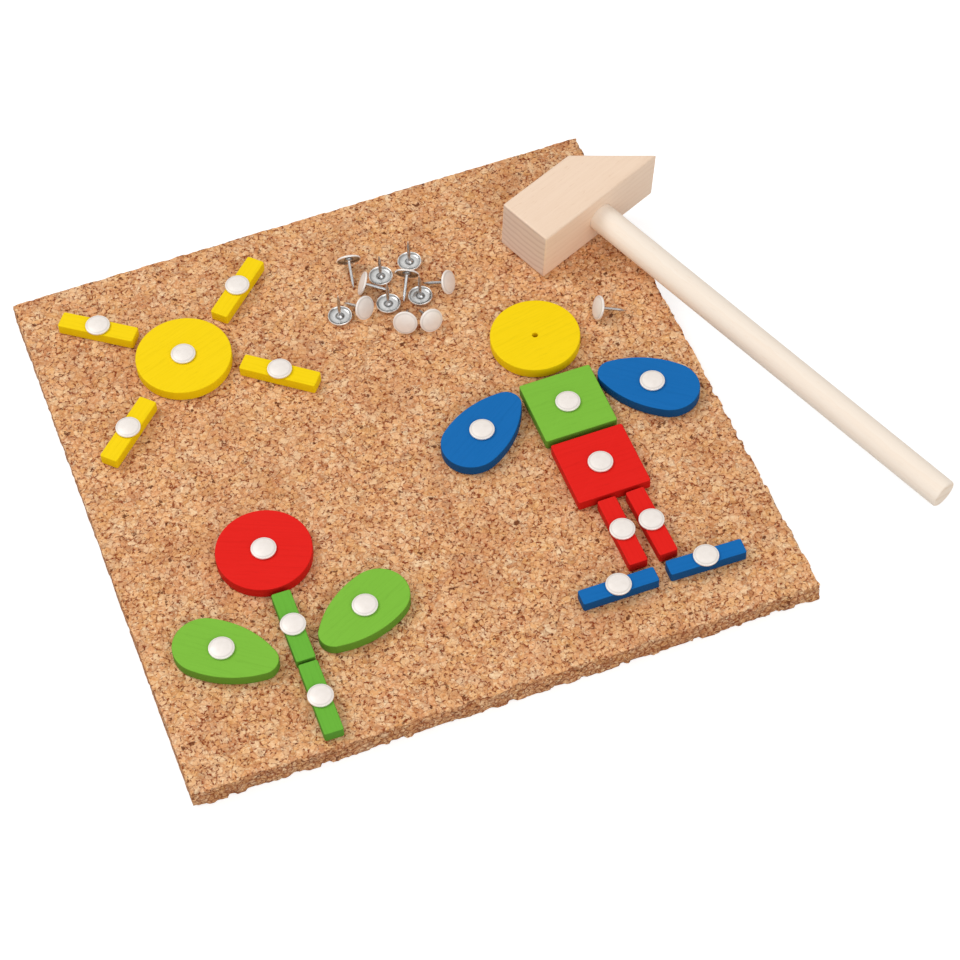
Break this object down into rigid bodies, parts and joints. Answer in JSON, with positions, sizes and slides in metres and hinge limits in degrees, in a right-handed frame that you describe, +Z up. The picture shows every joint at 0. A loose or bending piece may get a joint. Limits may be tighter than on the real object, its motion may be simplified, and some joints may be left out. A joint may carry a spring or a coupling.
{
  "type": "tap-tap hammer game",
  "caption": "Square cork board with coloured wooden shapes tacked to it as a sun, a flower and a figure, with loose tacks and a small wooden hammer.",
  "frame": {"origin": "centre of the cork board's underside", "axes": "+Z up out of the board's pinning face, +X to the board's right and +Y to its back, as the picture on it is read"},
  "size_m": [0.319, 0.25, 0.0379],
  "materials": {
    "cork": "pressed granulated cork, matt",
    "hammer_head_wood": "pale unfinished hardwood, planed",
    "hammer_handle_wood": "pale hardwood dowel, sanded smooth",
    "nickel_plate": "nickel-plated sheet steel, soft shine",
    "yellow_stain": "stained wood, satin",
    "red_stain": "stained wood, satin",
    "green_stain": "stained wood, satin",
    "stem_green_stain": "stained wood, satin",
    "blue_stain": "stained wood, satin"
  },
  "bodies": {
    "board": {"cork_board": "cork"},
    "hammer": {"hammer_head": "hammer_head_wood", "hammer_handle": "hammer_handle_wood"},
    "figure_head": {"figure_head": "yellow_stain"},
    "tack_sun_disc": {"tack_sun_disc": "nickel_plate"},
    "sun_disc": {"sun_disc": "yellow_stain"},
    "tack_sun_ray_left": {"tack_sun_ray_left": "nickel_plate"},
    "sun_ray_left": {"sun_ray_left": "yellow_stain"},
    "tack_sun_ray_top": {"tack_sun_ray_top": "nickel_plate"},
    "sun_ray_top": {"sun_ray_top": "yellow_stain"},
    "tack_sun_ray_right": {"tack_sun_ray_right": "nickel_plate"},
    "sun_ray_right": {"sun_ray_right": "yellow_stain"},
    "tack_sun_ray_bottom": {"tack_sun_ray_bottom": "nickel_plate"},
    "sun_ray_bottom": {"sun_ray_bottom": "yellow_stain"},
    "tack_flower_bloom": {"tack_flower_bloom": "nickel_plate"},
    "flower_bloom": {"flower_bloom": "red_stain"},
    "tack_flower_stem_upper": {"tack_flower_stem_upper": "nickel_plate"},
    "flower_stem_upper": {"flower_stem_upper": "stem_green_stain"},
    "tack_flower_stem_lower": {"tack_flower_stem_lower": "nickel_plate"},
    "flower_stem_lower": {"flower_stem_lower": "stem_green_stain"},
    "tack_flower_leaf_left": {"tack_flower_leaf_left": "nickel_plate"},
    "flower_leaf_left": {"flower_leaf_left": "green_stain"},
    "tack_flower_leaf_right": {"tack_flower_leaf_right": "nickel_plate"},
    "flower_leaf_right": {"flower_leaf_right": "green_stain"},
    "tack_figure_chest": {"tack_figure_chest": "nickel_plate"},
    "figure_chest": {"figure_chest": "green_stain"},
    "tack_figure_hips": {"tack_figure_hips": "nickel_plate"},
    "figure_hips": {"figure_hips": "red_stain"},
    "tack_figure_arm_left": {"tack_figure_arm_left": "nickel_plate"},
    "figure_arm_left": {"figure_arm_left": "blue_stain"},
    "tack_figure_arm_right": {"tack_figure_arm_right": "nickel_plate"},
    "figure_arm_right": {"figure_arm_right": "blue_stain"},
    "tack_figure_leg_left": {"tack_figure_leg_left": "nickel_plate"},
    "figure_leg_left": {"figure_leg_left": "red_stain"},
    "tack_figure_leg_right": {"tack_figure_leg_right": "nickel_plate"},
    "figure_leg_right": {"figure_leg_right": "red_stain"},
    "tack_figure_foot_left": {"tack_figure_foot_left": "nickel_plate"},
    "figure_foot_left": {"figure_foot_left": "blue_stain"},
    "tack_figure_foot_right": {"tack_figure_foot_right": "nickel_plate"},
    "figure_foot_right": {"figure_foot_right": "blue_stain"},
    "loose_tack_01": {"loose_tack_01": "nickel_plate"},
    "loose_tack_02": {"loose_tack_02": "nickel_plate"},
    "loose_tack_03": {"loose_tack_03": "nickel_plate"},
    "loose_tack_04": {"loose_tack_04": "nickel_plate"},
    "loose_tack_05": {"loose_tack_05": "nickel_plate"},
    "loose_tack_06": {"loose_tack_06": "nickel_plate"},
    "loose_tack_07": {"loose_tack_07": "nickel_plate"},
    "loose_tack_08": {"loose_tack_08": "nickel_plate"},
    "loose_tack_09": {"loose_tack_09": "nickel_plate"},
    "loose_tack_10": {"loose_tack_10": "nickel_plate"},
    "loose_tack_11": {"loose_tack_11": "nickel_plate"},
    "loose_tack_12": {"loose_tack_12": "nickel_plate"},
    "loose_tack_13": {"loose_tack_13": "nickel_plate"}
  },
  "joints": [
    {"name": "tack_sun_disc_pull", "type": "slide", "parent": "board", "child": "tack_sun_disc", "axis": [0, 0, 1], "range_m": [0, 0.012]},
    {"name": "sun_disc_turn", "type": "hinge", "parent": "tack_sun_disc", "child": "sun_disc", "pos_m": [-0.0676, 0.0688, 0.015], "axis": [0, 0, 1], "continuous": true},
    {"name": "tack_sun_ray_left_pull", "type": "slide", "parent": "board", "child": "tack_sun_ray_left", "axis": [0, 0, 1], "range_m": [0, 0.012]},
    {"name": "sun_ray_left_turn", "type": "hinge", "parent": "tack_sun_ray_left", "child": "sun_ray_left", "pos_m": [-0.09566, 0.09618, 0.015], "axis": [0, 0, 1], "continuous": true},
    {"name": "tack_sun_ray_top_pull", "type": "slide", "parent": "board", "child": "tack_sun_ray_top", "axis": [0, 0, 1], "range_m": [0, 0.012]},
    {"name": "sun_ray_top_turn", "type": "hinge", "parent": "tack_sun_ray_top", "child": "sun_ray_top", "pos_m": [-0.03624, 0.09521, 0.015], "axis": [0, 0, 1], "continuous": true},
    {"name": "tack_sun_ray_right_pull", "type": "slide", "parent": "board", "child": "tack_sun_ray_right", "axis": [0, 0, 1], "range_m": [0, 0.012]},
    {"name": "sun_ray_right_turn", "type": "hinge", "parent": "tack_sun_ray_right", "child": "sun_ray_right", "pos_m": [-0.03384, 0.04679, 0.015], "axis": [0, 0, 1], "continuous": true},
    {"name": "tack_sun_ray_bottom_pull", "type": "slide", "parent": "board", "child": "tack_sun_ray_bottom", "axis": [0, 0, 1], "range_m": [0, 0.012]},
    {"name": "sun_ray_bottom_turn", "type": "hinge", "parent": "tack_sun_ray_bottom", "child": "sun_ray_bottom", "pos_m": [-0.09898, 0.04104, 0.015], "axis": [0, 0, 1], "continuous": true},
    {"name": "tack_flower_bloom_pull", "type": "slide", "parent": "board", "child": "tack_flower_bloom", "axis": [0, 0, 1], "range_m": [0, 0.012]},
    {"name": "flower_bloom_turn", "type": "hinge", "parent": "tack_flower_bloom", "child": "flower_bloom", "pos_m": [-0.0672, -0.0349, 0.015], "axis": [0, 0, 1], "continuous": true},
    {"name": "tack_flower_stem_upper_pull", "type": "slide", "parent": "board", "child": "tack_flower_stem_upper", "axis": [0, 0, 1], "range_m": [0, 0.012]},
    {"name": "flower_stem_upper_turn", "type": "hinge", "parent": "tack_flower_stem_upper", "child": "flower_stem_upper", "pos_m": [-0.0677, -0.07225, 0.015], "axis": [0, 0, 1], "range_deg": [-10, 10]},
    {"name": "tack_flower_stem_lower_pull", "type": "slide", "parent": "board", "child": "tack_flower_stem_lower", "axis": [0, 0, 1], "range_m": [0, 0.012]},
    {"name": "flower_stem_lower_turn", "type": "hinge", "parent": "tack_flower_stem_lower", "child": "flower_stem_lower", "pos_m": [-0.0682, -0.10615, 0.015], "axis": [0, 0, 1], "continuous": true},
    {"name": "tack_flower_leaf_left_pull", "type": "slide", "parent": "board", "child": "tack_flower_leaf_left", "axis": [0, 0, 1], "range_m": [0, 0.012]},
    {"name": "flower_leaf_left_turn", "type": "hinge", "parent": "tack_flower_leaf_left", "child": "flower_leaf_left", "pos_m": [-0.09603, -0.07254, 0.015], "axis": [0, 0, 1], "range_deg": [-15, 8]},
    {"name": "tack_flower_leaf_right_pull", "type": "slide", "parent": "board", "child": "tack_flower_leaf_right", "axis": [0, 0, 1], "range_m": [0, 0.012]},
    {"name": "flower_leaf_right_turn", "type": "hinge", "parent": "tack_flower_leaf_right", "child": "flower_leaf_right", "pos_m": [-0.03964, -0.07405, 0.015], "axis": [0, 0, 1], "range_deg": [-8, 15]},
    {"name": "tack_figure_chest_pull", "type": "slide", "parent": "board", "child": "tack_figure_chest", "axis": [0, 0, 1], "range_m": [0, 0.012]},
    {"name": "figure_chest_turn", "type": "hinge", "parent": "tack_figure_chest", "child": "figure_chest", "pos_m": [0.0673, -0.0119, 0.015], "axis": [0, 0, 1], "range_deg": [-2.5, 2.5]},
    {"name": "tack_figure_hips_pull", "type": "slide", "parent": "board", "child": "tack_figure_hips", "axis": [0, 0, 1], "range_m": [0, 0.012]},
    {"name": "figure_hips_turn", "type": "hinge", "parent": "tack_figure_hips", "child": "figure_hips", "pos_m": [0.0681, -0.0444, 0.015], "axis": [0, 0, 1], "range_deg": [-2.5, 2.5]},
    {"name": "tack_figure_arm_left_pull", "type": "slide", "parent": "board", "child": "tack_figure_arm_left", "axis": [0, 0, 1], "range_m": [0, 0.012]},
    {"name": "figure_arm_left_turn", "type": "hinge", "parent": "tack_figure_arm_left", "child": "figure_arm_left", "pos_m": [0.03075, -0.01238, 0.015], "axis": [0, 0, 1], "range_deg": [-6, 200]},
    {"name": "tack_figure_arm_right_pull", "type": "slide", "parent": "board", "child": "tack_figure_arm_right", "axis": [0, 0, 1], "range_m": [0, 0.012]},
    {"name": "figure_arm_right_turn", "type": "hinge", "parent": "tack_figure_arm_right", "child": "figure_arm_right", "pos_m": [0.10233, -0.0147, 0.015], "axis": [0, 0, 1], "range_deg": [-200, 1]},
    {"name": "tack_figure_leg_left_pull", "type": "slide", "parent": "board", "child": "tack_figure_leg_left", "axis": [0, 0, 1], "range_m": [0, 0.012]},
    {"name": "figure_leg_left_turn", "type": "hinge", "parent": "tack_figure_leg_left", "child": "figure_leg_left", "pos_m": [0.0638, -0.0775, 0.015], "axis": [0, 0, 1], "range_deg": [-5, 5]},
    {"name": "tack_figure_leg_right_pull", "type": "slide", "parent": "board", "child": "tack_figure_leg_right", "axis": [0, 0, 1], "range_m": [0, 0.012]},
    {"name": "figure_leg_right_turn", "type": "hinge", "parent": "tack_figure_leg_right", "child": "figure_leg_right", "pos_m": [0.0759, -0.0775, 0.015], "axis": [0, 0, 1], "range_deg": [-5, 5]},
    {"name": "tack_figure_foot_left_pull", "type": "slide", "parent": "board", "child": "tack_figure_foot_left", "axis": [0, 0, 1], "range_m": [0, 0.012]},
    {"name": "figure_foot_left_turn", "type": "hinge", "parent": "tack_figure_foot_left", "child": "figure_foot_left", "pos_m": [0.05275, -0.10075, 0.015], "axis": [0, 0, 1], "range_deg": [-85, 8]},
    {"name": "tack_figure_foot_right_pull", "type": "slide", "parent": "board", "child": "tack_figure_foot_right", "axis": [0, 0, 1], "range_m": [0, 0.012]},
    {"name": "figure_foot_right_turn", "type": "hinge", "parent": "tack_figure_foot_right", "child": "figure_foot_right", "pos_m": [0.08865, -0.10075, 0.015], "axis": [0, 0, 1], "range_deg": [-8, 85]},
    {"name": "figure_head_lift", "type": "slide", "parent": "board", "child": "figure_head", "axis": [0, 0, 1], "range_m": [0, 0.04]},
    {"name": "hammer_lift", "type": "slide", "parent": "board", "child": "hammer", "axis": [0, 0, 1], "range_m": [0, 0.06]},
    {"name": "loose_tack_01_lift", "type": "slide", "parent": "board", "child": "loose_tack_01", "axis": [0, 0, 1], "range_m": [0, 0.03]},
    {"name": "loose_tack_02_lift", "type": "slide", "parent": "board", "child": "loose_tack_02", "axis": [0, 0, 1], "range_m": [0, 0.03]},
    {"name": "loose_tack_03_lift", "type": "slide", "parent": "board", "child": "loose_tack_03", "axis": [0, 0, 1], "range_m": [0, 0.03]},
    {"name": "loose_tack_04_lift", "type": "slide", "parent": "board", "child": "loose_tack_04", "axis": [0, 0, 1], "range_m": [0, 0.03]},
    {"name": "loose_tack_05_lift", "type": "slide", "parent": "board", "child": "loose_tack_05", "axis": [0, 0, 1], "range_m": [0, 0.03]},
    {"name": "loose_tack_06_lift", "type": "slide", "parent": "board", "child": "loose_tack_06", "axis": [0, 0, 1], "range_m": [0, 0.03]},
    {"name": "loose_tack_07_lift", "type": "slide", "parent": "board", "child": "loose_tack_07", "axis": [0, 0, 1], "range_m": [0, 0.03]},
    {"name": "loose_tack_08_lift", "type": "slide", "parent": "board", "child": "loose_tack_08", "axis": [0, 0, 1], "range_m": [0, 0.03]},
    {"name": "loose_tack_09_lift", "type": "slide", "parent": "board", "child": "loose_tack_09", "axis": [0, 0, 1], "range_m": [0, 0.03]},
    {"name": "loose_tack_10_lift", "type": "slide", "parent": "board", "child": "loose_tack_10", "axis": [0, 0, 1], "range_m": [0, 0.03]},
    {"name": "loose_tack_11_lift", "type": "slide", "parent": "board", "child": "loose_tack_11", "axis": [0, 0, 1], "range_m": [0, 0.03]},
    {"name": "loose_tack_12_lift", "type": "slide", "parent": "board", "child": "loose_tack_12", "axis": [0, 0, 1], "range_m": [0, 0.03]},
    {"name": "loose_tack_13_lift", "type": "slide", "parent": "board", "child": "loose_tack_13", "axis": [0, 0, 1], "range_m": [0, 0.03]}
  ]
}
